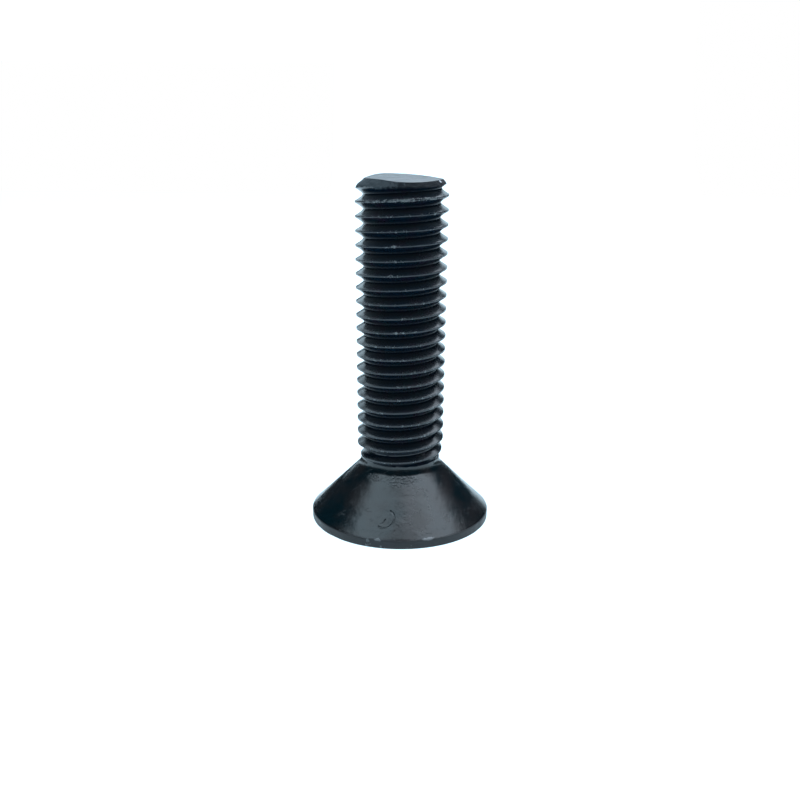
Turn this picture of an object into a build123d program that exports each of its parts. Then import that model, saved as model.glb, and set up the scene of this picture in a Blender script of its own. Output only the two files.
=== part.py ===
from build123d import *
from math import ceil, cos, radians, sqrt, tan
import os

# Countersunk socket screw, M12 x 1.75 x 45, one cold-forged and thread-rolled piece.
# Millimetres. The axis is Z, the head's face is the plane z = 0, and the point is up.

# ---- Driving sizes ----

length = 45.0               # from the head's face to the edge of the point
thread_size = 12.0          # nominal diameter of the thread
thread_play = 0.16          # how far the rolled crests stay under the nominal diameter
pitch = 1.75
thread_angle = 60.0         # between the two flanks of a groove
thread_end_turn = 25.0      # degrees from +X at which the crest line reaches the point
chamfer_angle = 45.0        # of the point, from the axis
point_inset = 0.15          # the point's face is this much smaller in radius than the root
point_crown = 0.6           # how far the end of the cropped wire bulges past the point's edge

head_diameter = 24.9        # over the rim
rim_height = 1.15           # the short cylinder between the face and the cone
head_angle = 90.0           # full angle of the countersunk cone
rim_rounding = 0.25         # both edges of the rim
neck_length = 0.6           # smooth shank between the cone and the first trace of thread
neck_fillet = 1.2           # where the neck meets the cone
runout_length = 1.6         # from the first trace of thread to full crests
root_rise = 1.4             # over which the groove's floor climbs from the root to the neck

socket_flats = 8.05         # hexagon across flats, for an 8 mm key
socket_depth = 5.0
socket_break = 0.15         # the broken edge round the socket's mouth
shoulder_margin = 1.9       # from the socket's corners to the edge of the punch's mark
shoulder_depth = 0.1        # how far the punch's shoulder sank into the face

# ---- Sizes that follow ----

sharp_height = pitch * sqrt(3) / 2                  # of the 60-degree triangle
crest_radius = (thread_size - thread_play) / 2
crest_flat = pitch / 8
root_radius = crest_radius - 17 / 24 * sharp_height
flank_slope = tan(radians(thread_angle / 2))
root_flat = pitch - crest_flat - 2 * (crest_radius - root_radius) * flank_slope
ridge_base_radius = root_radius - root_flat / 4 / flank_slope   # the ridge stands this deep in the core
neck_radius = thread_size / 2 - 3 / 8 * sharp_height  # the blank is the pitch diameter
point_radius = root_radius - point_inset

head_radius = head_diameter / 2
cone_top = rim_height + (head_radius - neck_radius) / tan(radians(head_angle / 2))
neck_top = cone_top + neck_length
socket_corner = socket_flats / 2 / cos(radians(30))

# The ridge and the turned outlines reach this far past the surfaces that trim them.
overrun = 0.3


def lathe(points):
    """A solid turned about Z from an outline of (radius, height) points."""
    outline = Polyline(*[(radius, 0, height) for radius, height in points], close=True)
    return revolve(make_face(outline), Axis.Z)


def thread_turn(start_height):
    """The four faces of one turn of the ridge, and the corners of its section at both ends."""
    half_crest = crest_flat / 2
    half_base = half_crest + (crest_radius - ridge_base_radius) * flank_slope

    def edge_helix(radius, offset):
        turn = Helix(pitch=pitch, height=pitch, radius=radius, center=(0, 0, start_height + offset))
        return turn.rotate(Axis.Z, thread_end_turn)

    base_low = edge_helix(ridge_base_radius, -half_base)
    crest_low = edge_helix(crest_radius, -half_crest)
    crest_high = edge_helix(crest_radius, half_crest)
    base_high = edge_helix(ridge_base_radius, half_base)
    corners = [base_low, crest_low, crest_high, base_high]
    faces = []
    for number, corner in enumerate(corners):
        neighbour = corners[(number + 1) % len(corners)]
        faces.append(Face.make_surface_from_curves(corner, neighbour))
    return faces, corners


def thread_ridge():
    """The rolled ridge as one closed solid of whole turns, from inside the neck to past the point."""
    turns = ceil((length + pitch - cone_top) / pitch)
    faces = []
    for turn in range(turns):
        start_height = length - (turns - 1 - turn) * pitch
        turn_faces, corners = thread_turn(start_height)
        faces.extend(turn_faces)
        if turn == 0:
            faces.append(Face(Wire.make_polygon([corner @ 0 for corner in corners])))
        if turn == turns - 1:
            faces.append(Face(Wire.make_polygon([corner @ 1 for corner in corners])))
    return Solid(Shell(faces))


def thread_envelope():
    """The turned outline that the ridge is trimmed to: runout, chamfer and the crowned end."""
    runout_slope = (crest_radius - neck_radius) / runout_length
    clear_radius = crest_radius + overrun
    chamfer_length = (clear_radius - point_radius) / tan(radians(chamfer_angle))
    top = (0, 0, length + point_crown)
    edge = (point_radius, 0, length)
    side = Polyline(
        top,
        (0, 0, cone_top),
        (neck_radius - neck_length * runout_slope, 0, cone_top),
        (clear_radius, 0, neck_top + (clear_radius - neck_radius) / runout_slope),
        (clear_radius, 0, length - chamfer_length),
        edge,
    )
    crown = TangentArc(top, edge, tangent=(1, 0, 0))
    return revolve(make_face(side + crown), Axis.Z)


def threaded_shank():
    """The core with the ridge round it, trimmed at both ends."""
    core_height = length + point_crown + overrun - cone_top
    core = Solid.make_cylinder(root_radius, core_height, Plane((0, 0, cone_top)))
    return (core + thread_ridge()) & thread_envelope()


def head_blank():
    """The forged head with its rim, cone and neck, and the cone on which the groove's floor climbs."""
    rise_slope = (neck_radius - root_radius) / root_rise
    buried_radius = root_radius - overrun
    blank = lathe([
        (0, 0),
        (head_radius, 0),
        (head_radius, rim_height),
        (neck_radius, cone_top),
        (neck_radius, neck_top),
        (buried_radius, neck_top + (neck_radius - buried_radius) / rise_slope),
        (0, neck_top + (neck_radius - buried_radius) / rise_slope),
    ])
    blank = fillet(circles_at(blank, cone_top), neck_fillet)
    return fillet(circles_at(blank, 0) + circles_at(blank, rim_height), rim_rounding)


def circles_at(solid, height):
    """The round edges of a turned solid at this height."""
    circles = solid.edges().filter_by(GeomType.CIRCLE)
    return circles.filter_by_position(Axis.Z, height - overrun, height + overrun)


def cut_socket(solid):
    """Cuts the punch's round mark and the hexagon socket into the head's face."""
    hexagon = RegularPolygon(socket_flats / 2, 6, major_radius=False)
    mark = Circle(socket_corner + shoulder_margin)
    solid = solid - extrude(mark, shoulder_depth) - extrude(hexagon, socket_depth)
    straight = solid.edges().filter_by(GeomType.LINE)
    mouth = straight.filter_by_position(Axis.Z, shoulder_depth, shoulder_depth)
    return chamfer(mouth, socket_break)


screw = cut_socket(head_blank() + threaded_shank())
os.makedirs("parts", exist_ok=True)
export_step(screw, "parts/screw.step")
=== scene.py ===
# %% [markdown]
# # A black countersunk socket screw, dressed for a studio picture
#
# The screw is one piece of steel: the head is forged, the thread is rolled, and the whole of it
# is then blackened. It stands on its head. The solid model comes from CAD and is loaded as a
# fixed frame. These cells make a finer mesh of the same screw around it, with worn crests, a
# knocked rim and a torn end, and give it a mottled black finish. Lengths are written in
# millimetres, as on a drawing, and MM turns them into Blender's metres.

# %% Load the CAD frame
import random
from math import atan2, ceil, cos, degrees, hypot, pi, radians, sin, sqrt, tan

import bmesh
import bpy
from mathutils import Matrix, Vector, noise


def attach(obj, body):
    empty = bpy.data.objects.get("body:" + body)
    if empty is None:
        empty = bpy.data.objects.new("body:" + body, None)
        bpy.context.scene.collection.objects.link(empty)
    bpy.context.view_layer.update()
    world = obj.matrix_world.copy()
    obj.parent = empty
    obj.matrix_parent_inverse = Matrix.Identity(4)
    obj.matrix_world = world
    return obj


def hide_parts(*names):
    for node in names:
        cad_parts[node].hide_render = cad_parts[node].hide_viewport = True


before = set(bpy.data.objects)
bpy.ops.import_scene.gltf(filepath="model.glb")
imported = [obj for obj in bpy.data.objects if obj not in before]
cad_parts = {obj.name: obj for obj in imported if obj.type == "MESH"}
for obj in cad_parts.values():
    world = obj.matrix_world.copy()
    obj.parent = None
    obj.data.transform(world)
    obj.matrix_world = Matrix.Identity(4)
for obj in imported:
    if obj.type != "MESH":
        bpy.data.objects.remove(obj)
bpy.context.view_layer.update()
MM = 0.001

# %% [markdown]
# ## The sizes of the screw
#
# An M12 countersunk screw has a 90-degree cone under a flat face, and a coarse thread of
# 1.75 mm pitch. The mesh has to fit the CAD solid, so it is built from the same few sizes.
# Everything else, such as the depth of a groove, follows from the 60-degree thread triangle.

# %% Sizes
LENGTH = 45.0
POINT_CROWN = 0.6
END_TOP = LENGTH + POINT_CROWN
THREAD_SIZE = 12.0
PITCH = 1.75
SHARP_HEIGHT = PITCH * sqrt(3) / 2
CREST_RADIUS = 5.92
CREST_FLAT = PITCH / 8
ROOT_RADIUS = CREST_RADIUS - 17 / 24 * SHARP_HEIGHT
# The blank that the dies roll is as wide as the thread's pitch diameter.
NECK_RADIUS = THREAD_SIZE / 2 - 3 / 8 * SHARP_HEIGHT
POINT_INSET = 0.15
POINT_RADIUS = ROOT_RADIUS - POINT_INSET
# The crest line reaches the point this many degrees round from +X.
END_TURN = 25.0
HEAD_RADIUS = 12.45
RIM_HEIGHT = 1.15
RIM_ROUNDING = 0.12
CONE_TOP = RIM_HEIGHT + HEAD_RADIUS - NECK_RADIUS
NECK_LENGTH = 0.6
NECK_TOP = CONE_TOP + NECK_LENGTH
NECK_FILLET = 1.44
FILLET_REACH = NECK_FILLET * tan(radians(22.5))
FILLET_TOP = CONE_TOP + FILLET_REACH
SOCKET_FLATS = 8.05
SOCKET_DEPTH = 5.0
SOCKET_BREAK = 0.15
SOCKET_CORNER = SOCKET_FLATS / 2 / cos(radians(30))
SHOULDER_MARGIN = 1.9
MARK_RADIUS = SOCKET_CORNER + SHOULDER_MARGIN
MARK_DEPTH = 0.1
# The mesh has this many points round, and points closer than this are one point.
COLUMNS = 204
MERGE_WITHIN = 0.003
# Two measures that differ by less than a hair are the same.
HAIR = 0.001
print("root radius", round(ROOT_RADIUS, 3), "neck radius", round(NECK_RADIUS, 3))
print("cone top", round(CONE_TOP, 3))

# %% [markdown]
# ## The camera
#
# A product shot of a small thing is taken from close by, a little above it, with a normal
# lens. Close range makes the head look wider than the thread and shows the cone from above.
# The camera could be aimed with a Track To constraint. Here its axes are worked out and
# written into its matrix, because then the pitch and the slight roll are each one number. The
# picture is framed above the lens's axis, which is what the shift is for.

# %% Camera
PICTURE = 800
FOCAL_PIXELS = 834.0
AXIS_BELOW_CENTRE = 91.0
SENSOR = 36.0
NEAREST = 5.0
camera_place = Vector((0.0, -110.2, 48.4)) * MM
pitch_down, rolled = radians(22.32), radians(0.37)
forward = Vector((0.0, cos(pitch_down), -sin(pitch_down)))
level_right = forward.cross(Vector((0, 0, 1))).normalized()
level_up = level_right.cross(forward)
right = level_right * cos(rolled) + level_up * sin(rolled)
up = level_up * cos(rolled) - level_right * sin(rolled)


def add_object(name, data):
    made = bpy.data.objects.new(name, data)
    bpy.context.scene.collection.objects.link(made)
    return made


lens = bpy.data.cameras.new("camera")
lens.sensor_width = SENSOR
lens.lens = FOCAL_PIXELS * SENSOR / PICTURE
lens.shift_y = AXIS_BELOW_CENTRE / PICTURE
lens.clip_start = NEAREST * MM
camera = add_object("camera", lens)
turned = Matrix((right, up, -forward)).transposed().to_4x4()
camera.matrix_world = Matrix.Translation(camera_place) @ turned
bpy.context.scene.camera = camera
print("lens, mm:", round(lens.lens, 1))

# %% [markdown]
# ## The studio
#
# Black metal shows its surroundings more than its own colour, so the studio is a set of bright
# and dark shapes for the screw to mirror. A glowing opal table makes the thin light on the
# crests, the neck and the rim. Two soft boxes overhead, the right one stronger, make the
# bright patch down the front of the cone. A backdrop and a panel beside it light the outline.
# The room is dark, which leaves dark bands at both sides of the cone, and two low black cards
# keep the far end of the table out of them. The camera doesn't see the cards.
#
# The table has an opening under the head and is clear from below, where a lamp lights the
# head's face. Lamps alone could make the white ground too, but glowing sheets keep their
# brightness where the screw shades them.


# %% Stage helpers
def feed(socket, value):
    """Links a socket to another one, or sets its value. None leaves it as it is."""
    if isinstance(value, bpy.types.NodeSocket):
        socket.id_data.links.new(value, socket)
    elif value is not None:
        socket.default_value = value


def wire(tree, kind, *values, **settings):
    """Adds a node, sets it and feeds its inputs in order."""
    node = tree.nodes.new(kind)
    for name, setting in settings.items():
        setattr(node, name, setting)
    for socket, value in zip([s for s in node.inputs if s.enabled], values):
        feed(socket, value)
    return node


def around_axis(radius, angle, height):
    return radius * cos(angle), radius * sin(angle), height


def mesh_from(name, points, faces):
    mesh = bpy.data.meshes.new(name)
    mesh.from_pydata([Vector(point) * MM for point in points], [], faces)
    mesh.polygons.foreach_set("use_smooth", [True] * len(faces))
    mesh.update()
    return mesh


def sheet_along(name, line, left, right_side):
    """A sheet from left to right whose side view is this line of (away, height) points."""
    points = [(side, away, height) for side in (left, right_side) for away, height in line]
    count = len(line)
    faces = [(i, i + count, i + count + 1, i + 1) for i in range(count - 1)]
    return add_object(name, mesh_from(name, points, faces))


def plain_material(name, **settings):
    """One shader. Settings are named after its sockets, with _ for a space."""
    material = bpy.data.materials.new(name)
    material.use_nodes = True
    shader = material.node_tree.nodes["Principled BSDF"]
    for title, value in settings.items():
        shader.inputs[title.replace("_", " ")].default_value = value
    return material


def opal(name, glow):
    """White opal acrylic, lit from behind."""
    return plain_material(name, Base_Color=(0.12, 0.13, 0.14, 1.0), Roughness=0.8,
                          Emission_Color=(0.66, 0.87, 1.0, 1.0), Emission_Strength=glow)


def choose_surface(choice, first, second, output):
    """Shows the first shader where the choice is 0, and the second where it is 1."""
    both = wire(choice.id_data, "ShaderNodeMixShader", choice, first, second).outputs[0]
    feed(choice.id_data.nodes[output].inputs["Surface"], both)


# %% The table
TABLE_HALF = 900.0
TABLE_TOP = -0.02
TABLE_GLOW = 1.5
OPENING_RADIUS = 12.0
OPENING_STEPS = 64


def table_sheet():
    """A square sheet with a round opening, which the head covers as it stands."""
    outer, inner, faces = [], [], []
    for step in range(OPENING_STEPS):
        angle = 2 * pi * step / OPENING_STEPS
        reach = TABLE_HALF / max(abs(cos(angle)), abs(sin(angle)))
        outer.append(around_axis(reach, angle, TABLE_TOP))
        inner.append(around_axis(OPENING_RADIUS, angle, TABLE_TOP))
        after = (step + 1) % OPENING_STEPS
        faces.append((step, after, OPENING_STEPS + after, OPENING_STEPS + step))
    return mesh_from("table", outer + inner, faces)


table = add_object("table", table_sheet())
opal_table = opal("opal_table", TABLE_GLOW)
table.data.materials.append(opal_table)
table_tree = opal_table.node_tree
from_below = wire(table_tree, "ShaderNodeNewGeometry").outputs["Backfacing"]
white = table_tree.nodes["Principled BSDF"].outputs[0]
clear = wire(table_tree, "ShaderNodeBsdfTransparent").outputs[0]
choose_surface(from_below, white, clear, "Material Output")
print("table:", len(table.data.polygons), "faces round an opening of", OPENING_RADIUS, "mm")

# %% The backdrop and the panel
BACKDROP_LEFT, BACKDROP_RIGHT = -40.0, 170.0
BACKDROP_START, BACKDROP_FOOT, BACKDROP_TOP = 300.0, 0.5, 308.0
BACKDROP_GLOW = 1.62
BEND_START, BEND_RADIUS, BEND_STEPS = 320.0, 120.0, 16
PANEL_LEFT, PANEL_BOTTOM = -260.0, 95.0
back = BEND_START + BEND_RADIUS

side_view = [(BACKDROP_START, BACKDROP_FOOT)]
for step in range(BEND_STEPS + 1):
    angle = radians(90) * step / BEND_STEPS
    rise = BACKDROP_FOOT + BEND_RADIUS * (1 - cos(angle))
    side_view.append((BEND_START + BEND_RADIUS * sin(angle), rise))
side_view.append((back, BACKDROP_TOP))
backdrop = sheet_along("backdrop", side_view, BACKDROP_LEFT, BACKDROP_RIGHT)
panel_view = [(back, PANEL_BOTTOM), (back, BACKDROP_TOP)]
panel = sheet_along("panel", panel_view, PANEL_LEFT, BACKDROP_LEFT)
opal_backdrop = opal("opal_backdrop", BACKDROP_GLOW)
backdrop.data.materials.append(opal_backdrop)
panel.data.materials.append(opal_backdrop)
print("backdrop:", len(side_view) - 1, "faces, panel:", len(panel.data.polygons))

# %% The black cards
# Each card stands from one (side, away) to another, between two heights.
CARDS = [((-27, 6), (-10, 25), 0, 5), ((10, 25), (27, 6), 3, 7)]
card_points, card_faces = [], []
for start, end, low, high in CARDS:
    first = len(card_points)
    card_points += [(*start, low), (*end, low), (*end, high), (*start, high)]
    card_faces.append((first, first + 1, first + 2, first + 3))
card = add_object("black_cards", mesh_from("black_cards", card_points, card_faces))
card_black = plain_material("card_black", Base_Color=(0.01, 0.01, 0.01, 1.0),
                            Specular_IOR_Level=0.0)
card.data.materials.append(card_black)
card.visible_camera = card.visible_shadow = card.visible_diffuse = False
print("stage:", table.name, backdrop.name, panel.name, card.name)

# %% The lamps
# The soft boxes hang side by side. How bright a box looks, times pi and its area, is its power.
BOX_FRONT, BOX_BACK, BOX_HEIGHT = -168, 380, 330
BOX_LEFT, BOX_PARTING, BOX_RIGHT = -300, 20, 372
LEFT_LIGHT, RIGHT_LIGHT = (0.70, 0.88, 1.0), (0.76, 0.88, 1.0)
UNDER_DEPTH, UNDER_SIZE, UNDER_WATTS = 220.0, 260.0, 1.1


def area_lamp(name, shape, place, colour, size):
    lamp = bpy.data.lights.new(name, "AREA")
    lamp.shape = shape
    lamp.size = size * MM
    lamp.color = colour
    hung = add_object(name, lamp)
    hung.location = Vector(place) * MM
    return hung


def soft_box(name, left, right_side, luminance, colour):
    place = ((left + right_side) / 2, (BOX_FRONT + BOX_BACK) / 2, BOX_HEIGHT)
    lamp = area_lamp(name, "RECTANGLE", place, colour, right_side - left).data
    lamp.size_y = (BOX_BACK - BOX_FRONT) * MM
    lamp.energy = luminance * pi * lamp.size * lamp.size_y


soft_box("left_box", BOX_LEFT, BOX_PARTING, 2.6, LEFT_LIGHT)
soft_box("right_box", BOX_PARTING, BOX_RIGHT, 3.3, RIGHT_LIGHT)
under_lamp = area_lamp("under_lamp", "DISK", (0.0, 0.0, -UNDER_DEPTH), RIGHT_LIGHT, UNDER_SIZE)
under_lamp.data.energy = UNDER_WATTS
under_lamp.rotation_euler = (radians(180), 0.0, 0.0)
under_lamp.visible_camera = False
print("watts:", {lamp.name: round(lamp.energy, 2) for lamp in bpy.data.lights})

# %% The dark room
# The room is dark blue to the screw, and as pale as the table where the camera looks past it.
ROOM_BLUE, ROOM_LIGHT = (0.4, 0.7, 1.0, 1.0), 0.02
room = bpy.data.worlds.new("dark_room")
bpy.context.scene.world = room
room.use_nodes = True
room_tree = room.node_tree
dark = room_tree.nodes["Background"]
dark.inputs["Color"].default_value = ROOM_BLUE
dark.inputs["Strength"].default_value = ROOM_LIGHT
pale = wire(room_tree, "ShaderNodeBackground", (1.0, 1.0, 1.0, 1.0), 1.0).outputs[0]
seen = wire(room_tree, "ShaderNodeLightPath").outputs["Is Camera Ray"]
choose_surface(seen, dark.outputs[0], pale, "World Output")
bpy.context.scene.view_settings.view_transform = "Standard"
print("room:", room.name)

# %% [markdown]
# ## The thread
#
# A rolled thread is one groove that winds round the shank. On the real screw two dies press
# it in, and the steel that they push aside rises to the crests. It could be made by sweeping
# a section along a spiral, but then the two ends have to be cut off and closed. Geometry
# Nodes can do it in one go: a flat grid is bent into a tube whose rows climb one pitch per
# turn, and each point is given the radius that the thread has at its height and angle. Rows
# that run past an end are held at that end, where they fall together and are merged. Near the
# neck each crest is lowered as a whole, the nearer the more, and the bottom of the groove
# climbs to meet it. The chamfer at the point cuts the radius down.


# %% Node helpers
def do(operation, *values):
    """Writes a Math node in the tree that its values come from: do("ADD", a, b)."""
    tree = next(value.id_data for value in values if isinstance(value, bpy.types.NodeSocket))
    return wire(tree, "ShaderNodeMath", *values, operation=operation).outputs[0]


def short_for(operation):
    return lambda *values: do(operation, *values)


plus, minus, times, over = map(short_for, ("ADD", "SUBTRACT", "MULTIPLY", "DIVIDE"))


def after(socket, kind, *values, **settings):
    """Adds a node to the tree of this socket, which feeds its first input."""
    return wire(socket.id_data, kind, socket, *values, **settings)


def scaled_by(vector, scale):
    node = after(vector, "ShaderNodeVectorMath", operation="SCALE")
    feed(node.inputs["Scale"], scale)
    return node.outputs[0]


def add_socket(tree, name, kind, value=None, way="INPUT"):
    socket = tree.interface.new_socket(name, in_out=way, socket_type="NodeSocket" + kind)
    if value is not None:
        socket.default_value = value


# %% Thread sizes
ROWS_PER_TURN = 16
# Where the rows of half a turn stand, as a share of the pitch: close together on the crest
# and at the bottom of the groove, wide apart on the straight flank.
ROW_PLACES = [0.0, 0.034, 0.062, 0.083, 0.22, 0.355, 0.405, 0.452, 0.5]

THREAD_SIZES = {
    "Crest radius": CREST_RADIUS,
    "Root radius": ROOT_RADIUS,
    "Neck radius": NECK_RADIUS,
    "Point radius": POINT_RADIUS,
    "Pitch": PITCH,
    "Crest flat": CREST_FLAT,
    "End turn": END_TURN,
    "Bottom": FILLET_TOP,
    "Neck top": NECK_TOP,
    "Runout length": 1.6,
    "Root rise": 1.4,
    "Length": LENGTH,
    "Crest rounding": 0.05,
    "Root rounding": 0.80,
    "Runout rounding": 0.03,
}
turn_rows = ceil((LENGTH - THREAD_SIZES["Bottom"]) / PITCH) + 2
print("rows:", turn_rows * ROWS_PER_TURN + 1)


# %% Thread tree
def thread_tree():
    """The tree that bends a grid into the thread."""
    tree = bpy.data.node_groups.new("rolled_thread", "GeometryNodeTree")
    add_socket(tree, "Geometry", "Geometry")
    for name, size in THREAD_SIZES.items():
        add_socket(tree, name, "Float", size)
    add_socket(tree, "Columns", "Int", COLUMNS)
    add_socket(tree, "Turns of rows", "Int", turn_rows)
    add_socket(tree, "Material", "Material")
    add_socket(tree, "Geometry", "Geometry", way="OUTPUT")
    size = wire(tree, "NodeGroupInput").outputs

    rows = do("MULTIPLY_ADD", size["Turns of rows"], float(ROWS_PER_TURN), 1.0)
    columns = plus(size["Columns"], 1.0)
    grid = wire(tree, "GeometryNodeMeshGrid", 1.0, 1.0, columns, rows)
    grid_place = wire(tree, "GeometryNodeInputPosition").outputs[0]
    place = after(grid_place, "ShaderNodeSeparateXYZ").outputs
    round_share, row_share = plus(place["X"], 0.5), plus(place["Y"], 0.5)

    # The turn that a row belongs to, and its place in that turn after the spacing curve.
    row_turn = times(row_share, size["Turns of rows"])
    whole = do("FLOOR", plus(row_turn, HAIR))
    part = minus(row_turn, whole)
    folded = minus(0.5, do("ABSOLUTE", minus(part, 0.5)))
    spacing = wire(tree, "ShaderNodeFloatCurve", 1.0, times(folded, 2.0))
    curve = spacing.mapping.curves[0]
    last = len(ROW_PLACES) - 1
    curve.points[0].location = (0.0, 0.0)
    curve.points[1].location = (1.0, 1.0)
    for number in range(1, last):
        curve.points.new(number / last, ROW_PLACES[number] * 2)
    for point in curve.points:
        point.handle_type = "VECTOR"
    spacing.mapping.update()
    spaced = times(spacing.outputs[0], 0.5)
    second_half = do("GREATER_THAN", part, 0.5)
    mirrored = minus(1.0, times(spaced, 2.0))
    turns_up = plus(whole, plus(spaced, times(second_half, mirrored)))

    # The height, held between the two ends. The crest line reaches the point at the end turn.
    end_share = over(size["End turn"], 360.0)
    top_turn = minus(size["Turns of rows"], 1.0)
    climb = times(minus(round_share, end_share), size["Pitch"])
    below = times(minus(turns_up, top_turn), size["Pitch"])
    free_height = plus(plus(below, climb), size["Length"])
    height = do("MINIMUM", do("MAXIMUM", free_height, size["Bottom"]), size["Length"])

    # The section: how far along the axis the nearest crest is, and how high it stands. Near the
    # neck each crest is lower than the one before.
    below_point = minus(height, size["Length"])
    phase = over(minus(below_point, climb), size["Pitch"])
    past_crest = times(minus(phase, do("ROUND", phase)), size["Pitch"])
    off_crest = do("ABSOLUTE", past_crest)
    crest_above_neck = minus(minus(height, past_crest), size["Neck top"])
    crest_rise = minus(size["Crest radius"], size["Neck radius"])
    runout_slope = over(crest_rise, size["Runout length"])
    runout = plus(size["Neck radius"], times(crest_above_neck, runout_slope))
    crest_here = do("SMOOTH_MIN", size["Crest radius"], runout, size["Runout rounding"])
    off_flat = minus(off_crest, times(size["Crest flat"], 0.5))
    flank = minus(crest_here, times(off_flat, sqrt(3)))
    ridge = do("SMOOTH_MIN", crest_here, flank, size["Crest rounding"])
    groove = do("SMOOTH_MAX", ridge, size["Root radius"], size["Root rounding"])

    # The neck, the floor that climbs to it, and the chamfer. Crests leave the neck at 45
    # degrees, so that the lowest row stays on the neck's ring.
    above_neck = minus(height, size["Neck top"])
    root_climb = minus(size["Neck radius"], size["Root radius"])
    rise_slope = over(root_climb, size["Root rise"])
    climbing_floor = minus(size["Neck radius"], times(above_neck, rise_slope))
    core = do("MINIMUM", climbing_floor, size["Neck radius"])
    chamfer = plus(size["Point radius"], minus(size["Length"], height))
    leaving_neck = plus(size["Neck radius"], minus(height, size["Bottom"]))
    shank = do("MINIMUM", do("MAXIMUM", groove, core), leaving_neck)
    radius = do("MINIMUM", shank, chamfer)

    angle = times(round_share, radians(360))
    across = times(radius, do("COSINE", angle))
    away = times(radius, do("SINE", angle))
    point = wire(tree, "ShaderNodeCombineXYZ", across, away, height).outputs[0]
    metres = scaled_by(point, MM)
    bent = after(grid.outputs[0], "GeometryNodeSetPosition", None, metres)
    merged = after(bent.outputs[0], "GeometryNodeMergeByDistance")
    feed(merged.inputs["Distance"], MERGE_WITHIN * MM)
    real = after(merged.outputs[0], "GeometryNodeRealizeInstances")
    finished = after(real.outputs[0], "GeometryNodeSetMaterial")
    feed(finished.inputs["Material"], size["Material"])
    after(finished.outputs[0], "NodeGroupOutput")
    return tree


# %% Run the tree
def run_tree(name, tree, values):
    """Runs a tree on an empty object and returns the result as a plain mesh."""
    carrier = add_object(name, bpy.data.meshes.new(name))
    modifier = carrier.modifiers.new("nodes", "NODES")
    modifier.node_group = tree
    inputs = [item for item in tree.interface.items_tree if item.in_out == "INPUT"]
    identifiers = {item.name: item.identifier for item in inputs}
    for title, value in values.items():
        modifier[identifiers[title]] = value
    evaluated = carrier.evaluated_get(bpy.context.evaluated_depsgraph_get())
    mesh = bpy.data.meshes.new_from_object(evaluated)
    bpy.data.objects.remove(carrier)
    return mesh


thread_oxide = bpy.data.materials.new("thread_oxide")
thread_inputs = {**THREAD_SIZES, "Columns": COLUMNS, "Material": thread_oxide}
thread_mesh = run_tree("thread", thread_tree(), thread_inputs)
print("thread:", len(thread_mesh.vertices), "points,", len(thread_mesh.polygons), "faces")

# %% [markdown]
# ## The head and the two ends
#
# The head is round except for its hexagon socket, so it could be turned with the Screw
# modifier and the socket cut by a Boolean. Both leave thin triangles where a circle meets the
# hexagon. Instead the head is a stack of rings that all have the same number of points as
# the thread: a ring is round on the cone, hexagonal in the socket, and the rings between them
# carry one shape into the other. A ring also joins the thread point to point.


# %% Rings
ANGLES = [radians(360) * i / COLUMNS for i in range(COLUMNS)]


def round_ring(radius, height):
    return [around_axis(radius, angle, height) for angle in ANGLES]


def hexagon_ring(flats, height, roundness=0.0, round_radius=0.0):
    """A hexagon with corners on the X axis, or a blend of it with a circle."""
    points = []
    for angle in ANGLES:
        straight = flats / 2 / cos(angle % radians(60) - radians(30))
        radius = straight + (round_radius - straight) * roundness
        points.append(around_axis(radius, angle, height))
    return points


def edge_arc(centre_radius, centre_height, rounding, start, end, steps):
    """Rings round a rounded edge, from one direction to another in degrees."""
    angles = [radians(start + (end - start) * step / steps) for step in range(steps + 1)]
    return [round_ring(centre_radius + rounding * cos(a), centre_height + rounding * sin(a))
            for a in angles]


def straight_rings(start, end, count):
    """Rings that divide a straight outline from one (radius, height) to another, ends left out."""
    shares = [step / count for step in range(1, count)]
    return [round_ring(*(a + (b - a) * share for a, b in zip(start, end))) for share in shares]


# %% The socket and the punch's mark
# The socket is closed by a fan in its floor, and then climbs its walls to the broken edge.
FLOOR_SHARES = (0.25, 0.5, 0.75, 0.93, 1.0)
MARK_SHARES = (0.12, 0.35, 0.6, 0.82, 0.95)
MARK_EDGE = 0.05
mouth = MARK_DEPTH + SOCKET_BREAK
WALL_HEIGHTS = (SOCKET_DEPTH - 0.12, 3.6, 2.2, 0.8, mouth + 0.05, mouth)
broken = SOCKET_FLATS + 2 * SOCKET_BREAK
corner = SOCKET_CORNER + SOCKET_BREAK

socket_rings = [hexagon_ring(SOCKET_FLATS * share, SOCKET_DEPTH) for share in FLOOR_SHARES]
socket_rings += [hexagon_ring(SOCKET_FLATS, height) for height in WALL_HEIGHTS]
socket_rings.append(hexagon_ring(SOCKET_FLATS + SOCKET_BREAK, MARK_DEPTH + SOCKET_BREAK * 0.4))
socket_rings.append(hexagon_ring(broken, MARK_DEPTH))
for share in MARK_SHARES:
    round_radius = corner + (MARK_RADIUS - corner) * share
    socket_rings.append(hexagon_ring(broken, MARK_DEPTH, sqrt(share), round_radius))
socket_rings.append(round_ring(MARK_RADIUS, MARK_DEPTH))
socket_rings.append(round_ring(MARK_RADIUS + MARK_EDGE / 2, MARK_DEPTH / 2))
print("socket rings:", len(socket_rings))

# %% The face, the rim, the cone and the neck's fillet
FACE_STEPS, RIM_STEPS, CONE_STEPS = 20, 4, 36
LOWER_EDGE_STEPS, UPPER_EDGE_STEPS, FILLET_STEPS = 5, 4, 7
SLOPE = radians(45)
face_edge = HEAD_RADIUS - RIM_ROUNDING
mark_edge = (MARK_RADIUS + MARK_EDGE, 0.0)
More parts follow.
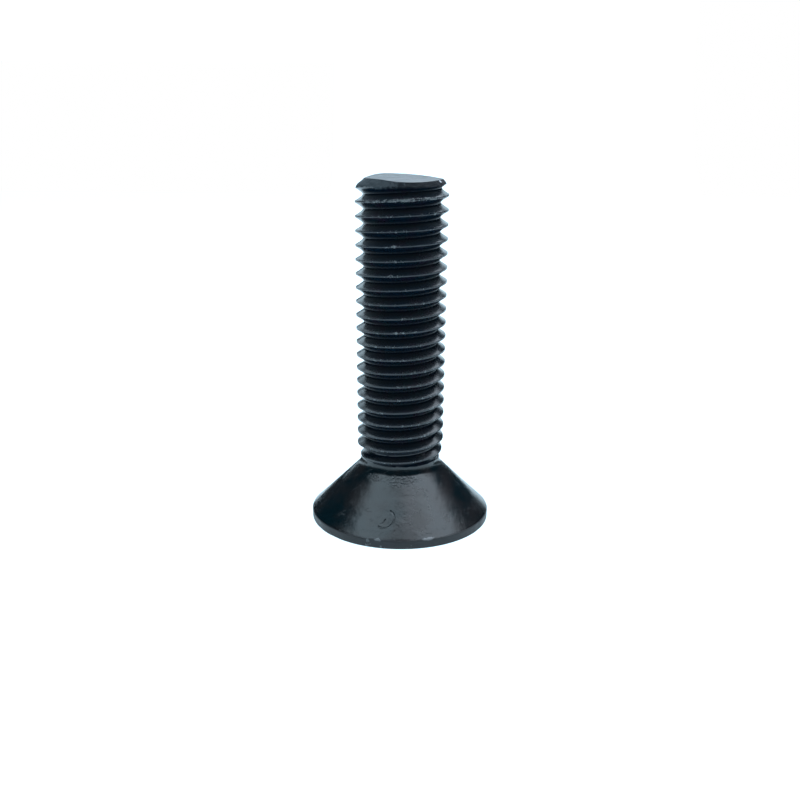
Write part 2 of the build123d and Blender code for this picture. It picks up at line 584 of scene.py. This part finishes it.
# The upper rounding touches the cone, so its middle is lower than the rim's full height.
upper_middle = RIM_HEIGHT - RIM_ROUNDING * tan(radians(22.5))
cone_start = (face_edge + RIM_ROUNDING * cos(SLOPE), upper_middle + RIM_ROUNDING * sin(SLOPE))
cone_end = (NECK_RADIUS + FILLET_REACH * cos(SLOPE), CONE_TOP - FILLET_REACH * sin(SLOPE))
rim_ends = ((HEAD_RADIUS, RIM_ROUNDING), (HEAD_RADIUS, upper_middle))

outer_rings = [round_ring(*mark_edge)]
outer_rings += straight_rings(mark_edge, (face_edge, 0.0), FACE_STEPS)
outer_rings += edge_arc(face_edge, RIM_ROUNDING, RIM_ROUNDING, -90, 0, LOWER_EDGE_STEPS)
outer_rings += straight_rings(*rim_ends, RIM_STEPS)
outer_rings += edge_arc(face_edge, upper_middle, RIM_ROUNDING, 0, 45, UPPER_EDGE_STEPS)
outer_rings += straight_rings(cone_start, cone_end, CONE_STEPS)
outer_rings += edge_arc(NECK_RADIUS + NECK_FILLET, FILLET_TOP, NECK_FILLET, 225, 180, FILLET_STEPS)
print("outer rings:", len(outer_rings))

# %% The cropped end
# The wire was sheared off, which left a bulge that is steeper on one side than on the other.
# Its height falls with the square of the distance from its top, by these amounts.
BULGE_TOP_X = -2.0
BULGE_STEEP = 0.075
BULGE_GENTLE = 0.0117
BULGE_ALONG = 0.034


def end_height(across, away):
    """The height of the cropped end over a point of the end face."""
    steepness = BULGE_STEEP if across < BULGE_TOP_X else BULGE_GENTLE
    return END_TOP - steepness * (across - BULGE_TOP_X) ** 2 - BULGE_ALONG * away ** 2


END_RING_SHARES = (1.0, 0.98, 0.94, 0.87, 0.78, 0.68, 0.57, 0.46, 0.35, 0.24, 0.14, 0.06)
end_rings = [round_ring(POINT_RADIUS * share, LENGTH) for share in END_RING_SHARES]
print("end rings:", len(end_rings))


# %% Join rings and thread
def stack_of_rings(name, stack, closed_level):
    """Quads between neighbouring rings, and a fan of triangles that closes one of them."""
    points = [point for ring in stack for point in ring]
    faces = []
    for level in range(len(stack) - 1):
        low, high = level * COLUMNS, (level + 1) * COLUMNS
        for i in range(COLUMNS):
            after = (i + 1) % COLUMNS
            faces.append((low + i, low + after, high + after, high + i))
    base = closed_level * COLUMNS
    points.append((0.0, 0.0, stack[closed_level][0][2]))
    faces.extend((base + i, base + (i + 1) % COLUMNS, len(points) - 1) for i in range(COLUMNS))
    return mesh_from(name, points, faces)


def joined(name, meshes):
    """One closed mesh from several, with the rings that fall together merged."""
    body = bmesh.new()
    for mesh in meshes:
        body.from_mesh(mesh)
    bmesh.ops.remove_doubles(body, verts=body.verts, dist=MERGE_WITHIN * MM)
    bmesh.ops.recalc_face_normals(body, faces=body.faces)
    mesh = bpy.data.meshes.new(name)
    body.to_mesh(mesh)
    open_edges = sum(1 for edge in body.edges if len(edge.link_faces) != 2)
    volume = body.calc_volume(signed=True) / MM ** 3
    body.free()
    print(name, "points", len(mesh.vertices), "faces", len(mesh.polygons))
    print("  open edges", open_edges, "volume mm3", round(volume, 1))
    return mesh


head_mesh = stack_of_rings("head", socket_rings + outer_rings, 0)
end_mesh = stack_of_rings("end", end_rings, len(end_rings) - 1)
screw_mesh = joined("screw_skin", [head_mesh, thread_mesh, end_mesh])

# %% [markdown]
# ## Wear and forging marks
#
# No screw in a box of screws is as true as its drawing. The shears drag the end out on one
# side, the crests and the rim are knocked against other screws, and forging leaves the cone
# a little wavy and the head's face stippled. A Displace modifier would move every point by
# one texture. Here each region needs its own rule, so the points are moved one by one, by
# noise that depends only on where they are. Points move inwards only, apart from the dragged
# end, so the screw still fits its box. How worn a point is goes into an attribute, which the
# finishes read.


# %% Shaping helpers
def ramp(value, low, high):
    """0 at low, 1 at high, and smooth between."""
    share = min(max((value - low) / (high - low), 0.0), 1.0)
    return share * share * (3 - 2 * share)


def rough(place, size, other=0.0):
    """Noise from -1 to 1 with lumps of this size. Another number gives another pattern."""
    return noise.noise(place / size + Vector((other, -other, 2 * other)))


def off_crest(place, angle):
    """How far this place is from the middle of the nearest crest, along the axis."""
    turns = (place.z - LENGTH) / PITCH - (angle - END_TURN) / 360
    return abs(turns - round(turns)) * PITCH


# %% Knocks on the crests
# Each knock is (angle from +X in degrees, turns down from the point, width, depth, how bare).
FRONT = -90
KNOCK_SEED, CHANCE_KNOCKS = 12, 20
knocks = [
    (FRONT - 8, 1, 0.55, 0.10, 1.0),
    (FRONT - 20, 1, 0.35, 0.05, 0.6),
    (FRONT - 9, 4, 0.45, 0.08, 1.0),
    (FRONT - 7, 10, 0.45, 0.07, 1.0),
    (FRONT + 3, 10, 0.35, 0.05, 0.9),
    (FRONT + 2, 3, 0.40, 0.05, 0.6),
    (FRONT + 32, 1, 0.50, 0.06, 0.7),
]
chance = random.Random(KNOCK_SEED)
for turns_down in range(CHANCE_KNOCKS):
    angle, width = chance.uniform(-60, 240), chance.uniform(0.25, 0.6)
    depth, bare = chance.uniform(0.02, 0.06), chance.uniform(0.3, 0.8)
    knocks.append((angle, turns_down, width, depth, bare))


def crest_place(angle, turns_down):
    height = LENGTH + PITCH * ((angle - END_TURN) / 360 - turns_down)
    return Vector(around_axis(CREST_RADIUS, radians(angle), height))


knock_places = [(crest_place(angle, down), *sizes) for angle, down, *sizes in knocks]
print("knocks:", len(knock_places))


def knock_at(place):
    """How deep the knocks are here, and how worn they leave the crest."""
    deepest, barest = 0.0, 0.0
    for middle, width, depth, bare in knock_places:
        if abs(place.z - middle.z) < width:
            near = 1 - ramp((place - middle).length, 0.2 * width, width)
            deepest = max(deepest, near * depth)
            barest = max(barest, near * bare)
    return deepest, barest


# %% The thread's wear
CREST_EDGE = 0.15
RAGGED = 0.012
# How worn the crests are: everywhere, in specks, in long stretches, and in front at the point.
EVEN_WEAR, SPECKED_WEAR, LONG_WEAR, POINT_WEAR = 0.45, 0.35, 0.25, 0.3
POINT_WEAR_FROM, POINT_WEAR_FULL = LENGTH - 3.6, LENGTH - 2.6


def worn_thread(place):
    """A ragged crest with knocks."""
    radius = hypot(place.x, place.y)
    angle = degrees(atan2(place.y, place.x))
    crest = 1 - ramp(off_crest(place, angle), CREST_FLAT / 2, CREST_FLAT / 2 + CREST_EDGE)
    crest *= ramp(radius, NECK_RADIUS, NECK_RADIUS + CREST_EDGE)
    knock, bare = knock_at(place)
    ragged = RAGGED + RAGGED * rough(place, 0.5) + RAGGED * rough(place, 1.7, 3.0)
    inward = crest * max(ragged + knock, 0.0)
    scale = (radius - inward) / radius if radius else 1.0
    wear = EVEN_WEAR + SPECKED_WEAR * rough(place, 0.5, 7.0) + LONG_WEAR * rough(place, 3.0, 9.0)
    near_point = ramp(place.z, POINT_WEAR_FROM, POINT_WEAR_FULL)
    wear += POINT_WEAR * near_point * max(-sin(radians(angle)), 0.0)
    return Vector((place.x * scale, place.y * scale, place.z)), crest * max(wear, bare)


# %% The dragged end
PUSH_START = LENGTH - 1.5
PUSH = 0.083
FRONT_PUSH = 0.05
LUMP = 0.045
DRAG_LINES, CRUMBS = 0.035, 0.02


def dragged_end(place):
    """The end pushed out towards +X and a little to the front, and closed by the bulge.

    A lump stands out on the side away from the push."""
    angle = atan2(place.y, place.x)
    share = ramp(place.z, PUSH_START, LENGTH)
    lump = ramp(-cos(angle), 0.8, 1.0) * ramp(place.z, LENGTH - 1.2, LENGTH - 0.6)
    lump *= ramp(LENGTH - place.z, 0.2, 0.5)
    push = PUSH * max(cos(angle), 0.0) ** 2 + FRONT_PUSH * max(-sin(angle), 0.0)
    scale = 1 + push * share + LUMP * lump
    across, away = place.x * scale, place.y * scale
    radius = hypot(across, away)
    edge = POINT_RADIUS * scale
    if place.z > LENGTH - HAIR and radius < edge - HAIR:
        torn = DRAG_LINES * rough(Vector((across, away * 4, 0.0)), 1.1)
        torn += CRUMBS * rough(Vector((across, away, 0.0)), 0.35)
        inside = 1 - ramp(radius, POINT_RADIUS * 0.7, POINT_RADIUS)
        return Vector((across, away, min(end_height(across, away) + torn * inside, END_TOP)))
    lift = end_height(edge * cos(angle), edge * sin(angle)) - LENGTH
    return Vector((across, away, place.z + lift * share))


# %% The head's wear
# The cone is this much lower next to the neck than a straight one, and its skin this wavy.
HOLLOW = 0.15
WAVE = 0.012
WIDE_DENT, SMALL_DENT = 0.05, 0.04
RIM_WEAR, RIM_WEAR_CHANGE = 0.35, 0.6
STIPPLE = 0.05
STIPPLE_START, STIPPLE_END, STIPPLE_GONE = MARK_RADIUS + 0.1, 9.2, 10.4


def worn_head(place):
    """A knocked rim, a wavy cone and a stippled face."""
    radius = hypot(place.x, place.y)
    rim = ramp(radius, HEAD_RADIUS - 0.2, HEAD_RADIUS - 0.02)
    around = Vector((place.x, place.y, place.z * 0.6))
    dent = ramp(rough(around, 1.9), 0.15, 0.7) * WIDE_DENT
    dent += ramp(rough(around, 0.8, 4.0), 0.3, 0.8) * SMALL_DENT
    inward = rim * dent
    bare = rim * (RIM_WEAR + RIM_WEAR_CHANGE * rough(around, 1.3, 11.0))
    height = place.z
    if place.z > RIM_HEIGHT:
        inward += WAVE * (1 + rough(place, 2.6, 2.0))
        up_cone = min((HEAD_RADIUS - radius) / (HEAD_RADIUS - cone_end[0]), 1.0)
        on_cone = 1 - ramp(place.z, cone_end[1], FILLET_TOP)
        height -= HOLLOW * up_cone * (2 - up_cone) * on_cone
    if place.z < HAIR:
        stipple = ramp(radius, STIPPLE_START, STIPPLE_START + 0.4)
        stipple *= 1 - ramp(radius, STIPPLE_END, STIPPLE_GONE)
        height += STIPPLE * stipple * ramp(rough(place, 0.45, 6.0), 0.0, 0.6)
        height += WAVE * (1 + rough(place, 2.2, 8.0)) * (1 - rim)
    scale = (radius - inward) / radius if radius else 1.0
    return Vector((place.x * scale, place.y * scale, height)), bare


# %% Move the points
# Inside this radius lie the socket and its broken edge, which stay as they are.
SOCKET_REGION = SOCKET_CORNER + 0.3
SHARP_ANGLE = 38
end_disc = {face.index for face in screw_mesh.polygons if face.center.z > (LENGTH - HAIR) * MM}
worn = []
for vertex in screw_mesh.vertices:
    place = vertex.co / MM
    bare = 0.0
    if place.z > FILLET_TOP + HAIR:
        place, bare = worn_thread(place)
        place = dragged_end(place)
    elif hypot(place.x, place.y) > SOCKET_REGION:
        place, bare = worn_head(place)
    vertex.co = place * MM
    worn.append(bare)
screw_mesh.attributes.new("worn", "FLOAT", "POINT").data.foreach_set("value", worn)
screw_mesh.polygons.foreach_set("use_smooth", [True] * len(screw_mesh.polygons))
screw_mesh.set_sharp_from_angle(angle=radians(SHARP_ANGLE))
screw = add_object("screw_skin", screw_mesh)
highest = max(vertex.co.z for vertex in screw_mesh.vertices) / MM
print("most worn:", round(max(worn), 2), "highest, mm:", round(highest, 3))

# %% [markdown]
# ## The black finish
#
# Black oxide is a thin crust that grows out of the steel itself in a hot salt bath, and is
# then oiled. It is a dark blue-black with teal and brown clouds, semi-gloss, and it shows
# every mark of the steel below. It isn't a metallic colour: the crust reflects like dark
# glass, a little more than plastic does. So each finish is a dark, non-metallic shader with
# a raised IOR, and only where the crust is rubbed through does it turn to metal. Six
# finishes share the same effects, and each effect is a node group that is built once.


# %% Group helpers
def make_group(name, recipe, inputs, outputs):
    """A shader group. Its recipe turns a place and these inputs into these outputs."""
    tree = bpy.data.node_groups.new(name, "ShaderNodeTree")
    add_socket(tree, "Place", "Vector")
    for title, value in inputs.items():
        add_socket(tree, title, "Float", value)
    for title in outputs:
        add_socket(tree, title, "Float", way="OUTPUT")
    given = list(wire(tree, "NodeGroupInput").outputs)[:1 + len(inputs)]
    wire(tree, "NodeGroupOutput", *recipe(*given))
    print("effect:", name, "with", len(tree.nodes), "nodes")
    return tree


def noise_at(place, size, detail=2.0):
    """Noise from 0 to 1 with lumps of about this size, a number or a socket, in millimetres."""
    scale = wire(place.id_data, "ShaderNodeMath", 1.0, size, operation="DIVIDE").outputs[0]
    return after(scaled_by(place, scale), "ShaderNodeTexNoise", 1.0, detail).outputs["Fac"]


def smooth_step(value, low, high):
    """0 below low, 1 above high. Turned round where low is the larger."""
    step = after(value, "ShaderNodeMapRange", low, high, interpolation_type="SMOOTHSTEP")
    return step.outputs[0]


def distance(across, upward):
    return do("SQRT", plus(do("POWER", across, 2.0), do("POWER", upward, 2.0)))


# %% Effect: clouds and grain
CLOUDS = {"Cloud size": 2.5, "Grain size": 0.15}


def clouds_recipe(place, cloud_size, grain_size):
    clouds = noise_at(place, cloud_size, 3.0)
    return smooth_step(clouds, 0.32, 0.68), noise_at(place, grain_size, 2.0)


clouds_group = make_group("oxide_clouds", clouds_recipe, CLOUDS, ("Clouds", "Grain"))

# %% Effect: rubbed edges
RUBBED = {"Worn": 0.0, "Speck size": 0.25, "Amount": 0.5}


def rubbed_recipe(place, worn_here, speck_size, amount):
    """Where the crust is rubbed through: the worn attribute, broken up into specks."""
    specks = noise_at(place, speck_size, 3.0)
    broken_up = do("MULTIPLY_ADD", minus(specks, 0.5), 1.6, worn_here)
    start = minus(1.0, amount)
    return [smooth_step(broken_up, start, plus(start, 0.35))]


rubbed_group = make_group("rubbed_edges", rubbed_recipe, RUBBED, ("Bare",))

# %% Effect: hair scratches
SCRATCHES = {"Slant": 20.0, "Length": 6.0, "Spacing": 0.7}
SCRATCH_AXIS = (0.35, 1.0, 0.2)


def scratches_recipe(place, slant, length, spacing):
    """Fine broken scratches that lie mostly one way: noise that is stretched and cut to a line."""
    axis = wire(place.id_data, "ShaderNodeCombineXYZ", *SCRATCH_AXIS).outputs[0]
    turned = after(place, "ShaderNodeVectorRotate", None, axis, rotation_type="AXIS_ANGLE")
    feed(turned.inputs["Angle"], do("RADIANS", slant))
    stretch = after(over(1.0, length), "ShaderNodeCombineXYZ", 1.0, 1.0).outputs[0]
    long_way = after(turned.outputs[0], "ShaderNodeVectorMath", stretch, operation="MULTIPLY")
    lines = noise_at(long_way.outputs[0], spacing, 1.0)
    line = smooth_step(do("ABSOLUTE", minus(lines, 0.5)), 0.012, 0.004)
    return [times(line, smooth_step(noise_at(place, 1.6, 1.0), 0.55, 0.7))]


scratches_group = make_group("hair_scratches", scratches_recipe, SCRATCHES, ("Scratches",))


# %% Effect: a place on a round thing
def round_recipe(place):
    """Turns a place into degrees round from the front, radius and height."""
    across, away, height = after(place, "ShaderNodeSeparateXYZ").outputs
    around = do("DEGREES", do("ARCTAN2", across, times(away, -1.0)))
    return around, distance(across, away), height


round_group = make_group("round_place", round_recipe, {}, ("Around", "Radius", "Height"))

# %% Effect: soft patch
PATCH = {"Around": 0.0, "Height": 0.0, "At around": 0.0, "At height": 0.0,
         "Reach around": 10.0, "Reach up": 1.0}


def patch_recipe(place, around, height, at_around, at_height, reach_around, reach_up):
    """A soft oval spot on the cone or the rim, ragged by noise."""
    sideways = over(minus(around, at_around), reach_around)
    away = distance(sideways, over(minus(height, at_height), reach_up))
    uneven = minus(noise_at(place, 0.5, 3.0), 0.5)
    return [smooth_step(do("MULTIPLY_ADD", uneven, 1.2, away), 1.0, 0.55)]


patch_group = make_group("soft_patch", patch_recipe, PATCH, ("Mask",))

# %% Effect: scratched arc
STROKE = {"Around": 0.0, "Radius": 10.0, "Height": 0.0, "At around": 0.0, "At height": 3.0,
          "Bend": 1.3, "Start": -90.0, "End": 90.0, "Width": 0.1}
STROKE_TAPER = 12.0


def stroke_recipe(_, around, radius, height, at_around, at_height, bend, start, end, width):
    """An arc in the cone: its middle, its bend radius, and where it starts and ends."""
    sideways = times(do("RADIANS", minus(around, at_around)), radius)
    # The cone slopes at 45 degrees, so the way up it is longer than the height by this much.
    upward = times(minus(height, at_height), sqrt(2))
    off_line = do("ABSOLUTE", minus(distance(sideways, upward), bend))
    line = smooth_step(off_line, width, times(width, 0.3))
    direction = do("DEGREES", do("ARCTAN2", upward, sideways))
    begun = smooth_step(direction, start, plus(start, STROKE_TAPER))
    ended = smooth_step(direction, end, minus(end, STROKE_TAPER))
    return [times(line, times(begun, ended))]


stroke_group = make_group("arc_stroke", stroke_recipe, STROKE, ("Stroke",))


# %% Effects placed in a finish
def use_group(group, place, *values):
    """Places a group in the tree of this place. Its other inputs are fed in their order."""
    return after(place, "ShaderNodeGroup", *values, node_tree=group).outputs


def rubbed(place, speck_size, amount):
    worn_here = wire(place.id_data, "ShaderNodeAttribute", attribute_name="worn").outputs["Fac"]
    return use_group(rubbed_group, place, worn_here, speck_size, amount)[0]


def most(masks):
    """The largest of several masks."""
    largest = masks[0]
    for mask in masks[1:]:
        largest = do("MAXIMUM", largest, mask)
    return largest


def marks(group, place, where, rows):
    """One mask from several marks of one kind, each a row of numbers for the group's inputs."""
    return most([use_group(group, place, *where, *row)[0] for row in rows])


# %% Material helpers
OXIDE_IOR = 1.55


def make_finish(name, recipe, shine=0.5):
    """A material. Its recipe turns a place in millimetres into what the shader is fed."""
    material = bpy.data.materials.get(name) or bpy.data.materials.new(name)
    material.use_nodes = True
    tree = material.node_tree
    shader = tree.nodes["Principled BSDF"]
    shader.inputs["IOR"].default_value = OXIDE_IOR
    shader.inputs["Specular IOR Level"].default_value = shine
    object_place = wire(tree, "ShaderNodeTexCoord").outputs["Object"]
    titles = ("Base Color", "Roughness", "Normal", "Metallic")
    for title, value in zip(titles, recipe(scaled_by(object_place, 1 / MM))):
        feed(shader.inputs[title], value)
    print("finish:", name, "with", len(tree.nodes), "nodes")
    return material


def mix_colour(share, first, second):
    """A blend of two colours, each a socket or (red, green, blue, 1)."""
    node = wire(share.id_data, "ShaderNodeMix", data_type="RGBA")
    sockets = {socket.identifier: socket for socket in [*node.inputs, *node.outputs]}
    for title, value in (("Factor_Float", share), ("A_Color", first), ("B_Color", second)):
        feed(sockets[title], value)
    return sockets["Result_Color"]


def mix_value(share, first, second):
    """first where share is 0, second where it is 1."""
    return after(share, "ShaderNodeMapRange", 0.0, 1.0, first, second).outputs[0]


def bump_from(height, depth, below=None):
    """A bump this deep in millimetres, on top of another."""
    bump = wire(height.id_data, "ShaderNodeBump")
    for title, value in (("Distance", depth * MM), ("Height", height), ("Normal", below)):
        feed(bump.inputs[title], value)
    return bump.outputs[0]


BARE_STEEL = (0.16, 0.17, 0.175, 1.0)
BLUE_BLACK = (0.0008, 0.0064, 0.0135, 1.0)
TEAL_BLACK = (0.0006, 0.0080, 0.0115, 1.0)
PURPLE_BLACK = (0.0060, 0.0035, 0.0105, 1.0)
BROWN_BLACK = (0.010, 0.009, 0.010, 1.0)

# %% [markdown]
# ### The thread's finish
#
# The dies leave a thread smooth and dense, so its crust is the darkest and shiniest of all,
# and its crests are rubbed to a row of bright specks. They could be placed by height, but the
# worn attribute already knows where a crest is ragged or knocked.


# %% Thread oxide
def thread_recipe(place):
    clouds = use_group(clouds_group, place, 3.0, 0.22)
    bare = rubbed(place, 0.22, 0.42)
    fine = use_group(clouds_group, place, 1.1, 0.1)["Clouds"]
    tints = mix_colour(fine, TEAL_BLACK, PURPLE_BLACK)
    crust = mix_colour(clouds["Clouds"], BLUE_BLACK, tints)
    even = mix_value(clouds["Clouds"], 0.2, 0.28)
    colour = mix_colour(bare, crust, BARE_STEEL)
    normal = bump_from(clouds["Grain"], 0.006)
    return colour, plus(even, times(bare, 0.12)), normal, times(bare, 0.6)


thread_oxide = make_finish("thread_oxide", thread_recipe)

# %% [markdown]
# ### The cone's finish and the rim's
#
# The cone is forged and only lightly turned, so it is less shiny than the thread. It has
# brown clouds to one side, a scaly patch under the neck, pale smears of dried oil, and a few
# scratches, one of them curled. The rim has rubbed against other screws and is worn
# brown-grey all round, with a few bright scuffs. It takes the cone's recipe with a lower
# shine, so that the clouds run on across the edge. Single marks are placed by angle and
# height, where an image would need the cone unwrapped.

# %% Marks on the cone and the rim
# Patches are (degrees round from the front, height, reach round, reach up).
SCALY = [(3.0, 7.15, 27.0, 0.7), (-33.0, 7.2, 14.0, 0.5)]
SMEARS = [(20.0, 4.6, 9.0, 2.4), (14.0, 3.1, 7.0, 1.2), (35.6, 2.8, 3.0, 0.5),
          (150.0, 4.5, 10.0, 1.2)]
SCUFFS = [(17.5, 1.25, 5.0, 0.22), (-13.5, 1.2, 2.6, 0.2), (93.0, 1.2, 3.0, 0.2),
          (170.0, 1.2, 5.0, 0.25), (-95.0, 1.2, 4.0, 0.2)]
# Arcs are (degrees round from the front, height, bend, start, end, width).
CURL = [(-11.4, 3.3, 1.3, -125.0, 66.0, 0.14), (-20.0, 3.6, 1.75, -50.0, -12.0, 0.1)]
DRIED_OIL = (0.055, 0.052, 0.05, 1.0)
WORN_RIM = (0.016, 0.015, 0.017, 1.0)
SCUFFED_STEEL = (0.16, 0.165, 0.17, 1.0)
FLAKE_GREY = (0.07, 0.07, 0.075, 1.0)
print("marks:", len(SCALY + SMEARS + SCUFFS), "patches,", len(CURL), "arcs")


# %% Cone oxide
def cone_recipe(place):
    around, radius, height = use_group(round_group, place)
    clouds = use_group(clouds_group, place, 3.5, 0.3)
    fine = use_group(clouds_group, place, 1.4, 0.12)
    bare = rubbed(place, 0.5, 0.3)
    scratches = use_group(scratches_group, place, 25.0, 5.0, 0.9)[0]
    curl = marks(stroke_group, place, (around, radius, height), CURL)
    scaly, smears, scuffs = (marks(patch_group, place, (around, height), rows)
                             for rows in (SCALY, SMEARS, SCUFFS))
    scales = minus(noise_at(place, 0.3, 3.0), 0.5)
    flakes = times(times(smooth_step(scales, 0.05, 0.14), scaly), 0.8)
    rim = smooth_step(radius, HEAD_RADIUS - 0.14, HEAD_RADIUS - 0.04)

    crust = mix_colour(clouds["Clouds"], TEAL_BLACK, BROWN_BLACK)
    smeared = mix_colour(times(smears, 0.4), crust, DRIED_OIL)
    rimmed = mix_colour(times(rim, 0.8), smeared, WORN_RIM)
    scuffed = mix_colour(times(scuffs, 0.8), rimmed, SCUFFED_STEEL)
    flaked = mix_colour(flakes, scuffed, FLAKE_GREY)

    even = mix_value(clouds["Clouds"], 0.18, 0.25)
    duller = plus(even, times(rim, 0.3))
    grain = bump_from(fine["Grain"], 0.006)
    forged = bump_from(fine["Clouds"], 0.012, grain)
    scaled = bump_from(times(scales, scaly), 0.09, forged)
    cut = minus(1.0, most([times(scratches, 0.4), curl]))
    metal = do("MAXIMUM", bare, times(scuffs, 0.7))
    colour = mix_colour(bare, flaked, BARE_STEEL)
    roughness = plus(duller, times(smears, 0.1))
    return colour, roughness, bump_from(cut, 0.05, scaled), times(metal, 0.6)


cone_oxide = make_finish("cone_oxide", cone_recipe)
rim_oxide = make_finish("rim_oxide", cone_recipe, shine=0.36)

# %% [markdown]
# ### The face and the socket
#
# The face was pressed flat by the forging tool and never touched again. Its crust is dull,
# blotched with purple-brown, and stippled round the punch's mark. A bump could draw the
# stipple, but it is in the mesh, where low light catches it. The finish adds only grain.


# %% Face oxide
def face_recipe(place):
    clouds = use_group(clouds_group, place, 4.0, 0.35)
    fine = use_group(clouds_group, place, 0.9, 0.1)
    bare = rubbed(place, 0.4, 0.3)
    scratches = use_group(scratches_group, place, 70.0, 4.0, 1.2)[0]
    crust = mix_colour(clouds["Clouds"], TEAL_BLACK, BROWN_BLACK)
    grain = bump_from(plus(clouds["Grain"], fine["Grain"]), 0.012)
    colour = mix_colour(bare, crust, BARE_STEEL)
    roughness = mix_value(fine["Clouds"], 0.36, 0.46)
    scratched = bump_from(minus(1.0, scratches), 0.015, grain)
    return colour, roughness, scratched, times(bare, 0.6)


face_oxide = make_finish("face_oxide", face_recipe)

# %% [markdown]
# ### The cropped end
#
# The wire was sheared to length before it was blackened. Torn steel takes a thinner, greyer
# crust than rolled steel does, with drag lines across it and a paler lip in front. The lines
# could be modelled, but stretched noise is finer, and makes the lip's border ragged too.

# %% End oxide
TORN_DARK = (0.034, 0.035, 0.039, 1.0)
TORN_PALE = (0.068, 0.068, 0.073, 1.0)
LIP_GREY = (0.142, 0.146, 0.156, 1.0)
LIP_START, LIP_FULL = -1.0, -4.2


def end_recipe(place):
    clouds = use_group(clouds_group, place, 1.2, 0.16)
    away = after(place, "ShaderNodeSeparateXYZ").outputs["Y"]
    stretched = after(place, "ShaderNodeVectorMath", (0.3, 2.0, 1.0), operation="MULTIPLY")
    drag_lines = noise_at(stretched.outputs[0], 0.5, 3.0)
    torn_away = do("MULTIPLY_ADD", minus(drag_lines, 0.5), 2.5, away)
    lip = smooth_step(torn_away, LIP_START, LIP_FULL)
    disc = mix_colour(clouds["Clouds"], TORN_DARK, TORN_PALE)
    grain = bump_from(clouds["Grain"], 0.012)
    roughness = mix_value(drag_lines, 0.3, 0.5)
    return mix_colour(lip, disc, LIP_GREY), roughness, bump_from(drag_lines, 0.08, grain)


end_oxide = make_finish("end_oxide", end_recipe)

# %% [markdown]
# ### The crushed chamfer
#
# Between the torn end and the first crest the steel is crushed and looks burnt: nearly
# without shine, scuffed grey on one side and brown on the other, with one bared speck whose
# glint is a painted highlight, a white spot in the colour. A mask in the thread's finish
# could do it, but its faces are easy to pick.

# %% Burnt oxide
CHAMFER_SCUFF = (-48.0, 44.5, 52.0, 0.8)
CHAMFER_STUB = (82.0, 44.7, 32.0, 0.9)
# The speck is a bared spot whose glint is painted into the colour as a white patch.
CHAMFER_GLINT = (62.0, 44.75, 2.5, 0.16)
BURNT_BLUE = (0.002, 0.005, 0.009, 1.0)
BURNT_GREY = (0.007, 0.009, 0.012, 1.0)
SCUFF_GREY = (0.055, 0.066, 0.074, 1.0)
STUB_BROWN = (0.045, 0.042, 0.046, 1.0)
# Painted highlight: the white of the speck stands in for the glint of bared steel.
PAINTED_GLINT_WHITE = (0.6, 0.62, 0.66, 1.0)


def burnt_recipe(place):
    around, _, height = use_group(round_group, place)
    clouds = use_group(clouds_group, place, 0.8, 0.16)
    bare = rubbed(place, 0.2, 0.35)
    scuffed, stub, glint_spot = (use_group(patch_group, place, around, height, *spot)[0]
                            for spot in (CHAMFER_SCUFF, CHAMFER_STUB, CHAMFER_GLINT))
    dark = mix_colour(clouds["Clouds"], BURNT_BLUE, BURNT_GREY)
    grey = mix_colour(times(scuffed, 0.8), dark, SCUFF_GREY)
    brown = mix_colour(times(stub, 0.7), grey, STUB_BROWN)
    # Painted highlight: the bared speck's glint, laid into the colour as white.
    with_glint = mix_colour(glint_spot, brown, PAINTED_GLINT_WHITE)
    grain = bump_from(clouds["Grain"], 0.02)
    colour = mix_colour(bare, with_glint, BARE_STEEL)
    roughness = mix_value(clouds["Grain"], 0.4, 0.6)
    return colour, roughness, bump_from(clouds["Clouds"], 0.05, grain), times(bare, 0.5)


burnt_oxide = make_finish("burnt_oxide", burnt_recipe, shine=0.05)

# %% [markdown]
# ### Each face its finish
#
# The finish changes where the making changed. The faces could be picked by hand, but where a
# face lies says which tool touched it, so one rule goes through them all.

# %% Give each face its finish
FACE_TOP = 0.15
CHAMFER_BORDER = 0.12
finishes = [thread_oxide, cone_oxide, rim_oxide, face_oxide, end_oxide, burnt_oxide]
THREAD, CONE, RIM, FACE, END, BURNT = range(len(finishes))


def finish_of(polygon):
    place = polygon.center / MM
    radius = hypot(place.x, place.y)
    if polygon.index in end_disc:
        return END
    if place.z > FILLET_TOP:
        on_chamfer = radius + place.z > POINT_RADIUS + LENGTH - CHAMFER_BORDER
        return BURNT if on_chamfer and place.z > PUSH_START else THREAD
    if radius < SOCKET_REGION or place.z < FACE_TOP:
        return FACE
    return RIM if place.z < RIM_HEIGHT else CONE


screw_mesh.materials.clear()
for finish in finishes:
    screw_mesh.materials.append(finish)
chosen = [finish_of(polygon) for polygon in screw_mesh.polygons]
screw_mesh.polygons.foreach_set("material_index", chosen)
screw_mesh.update()
print("faces of each finish:", [chosen.count(index) for index in range(len(finishes))])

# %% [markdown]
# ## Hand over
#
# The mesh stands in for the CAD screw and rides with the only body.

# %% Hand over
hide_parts("screw")
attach(screw, "root")
